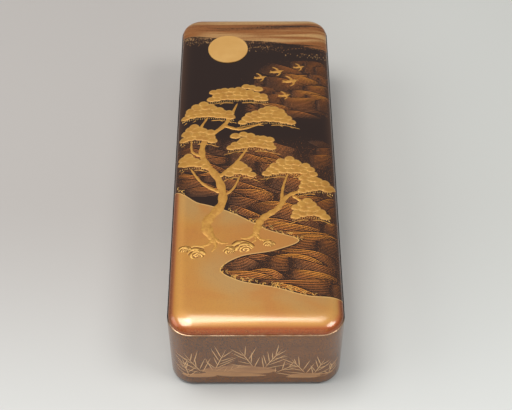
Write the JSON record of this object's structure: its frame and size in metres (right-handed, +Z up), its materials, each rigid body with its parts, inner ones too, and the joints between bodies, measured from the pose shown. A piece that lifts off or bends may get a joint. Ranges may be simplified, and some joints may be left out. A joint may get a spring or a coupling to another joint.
{
  "type": "fubako letter box",
  "caption": "Long rounded lacquered letter box: a lid with a softly swelling top and a narrow ledge slips down over a tray with a cord ring on each long side.",
  "frame": {"origin": "middle of the underside of the tray's bottom board", "axes": "+Z up out of the lid, +Y along the box towards the far end in the picture, +X across it to the right"},
  "size_m": [0.093, 0.232, 0.0541],
  "materials": {
    "lid_lacquer": "glossy lacquer over wood, with sprinkled and raised gold",
    "tray_lacquer": "glossy lacquer over wood, with sparse gold flakes",
    "moon_gold": "satin gold",
    "gilt_fittings": "gilt, softly worn"
  },
  "bodies": {
    "tray": {"tray_bottom_board": "tray_lacquer", "tray_long_wall_right": "tray_lacquer", "tray_long_wall_left": "tray_lacquer", "tray_end_wall_far": "tray_lacquer", "tray_end_wall_near": "tray_lacquer", "tray_corner_far_right": "tray_lacquer", "tray_corner_near_left": "tray_lacquer", "tray_corner_far_left": "tray_lacquer", "tray_corner_near_right": "tray_lacquer", "ring_seat_plate_left": "gilt_fittings", "ring_washer_left": "gilt_fittings", "ring_eye_left": "gilt_fittings", "ring_seat_plate_right": "gilt_fittings", "ring_washer_right": "gilt_fittings", "ring_eye_right": "gilt_fittings"},
    "lid": {"lid_top_board": "lid_lacquer", "moon_disc": "moon_gold", "lid_long_wall_right": "lid_lacquer", "lid_long_wall_left": "lid_lacquer", "lid_end_wall_far": "lid_lacquer", "lid_end_wall_near": "lid_lacquer", "lid_corner_far_right": "lid_lacquer", "lid_corner_near_left": "lid_lacquer", "lid_corner_far_left": "lid_lacquer", "lid_corner_near_right": "lid_lacquer"},
    "ring_left": {"cord_ring_left": "gilt_fittings"},
    "ring_right": {"cord_ring_right": "gilt_fittings"}
  },
  "joints": [
    {"name": "lid_lift", "type": "slide", "parent": "tray", "child": "lid", "axis": [0, 0, 1], "range_m": [0, 0.08]},
    {"name": "ring_left_swing", "type": "hinge", "parent": "tray", "child": "ring_left", "pos_m": [-0.0445, 0, 0.015], "axis": [0, 1, 0], "range_deg": [0, 140]},
    {"name": "ring_right_swing", "type": "hinge", "parent": "tray", "child": "ring_right", "pos_m": [0.0445, 0, 0.015], "axis": [0, -1, 0], "range_deg": [0, 140]}
  ]
}
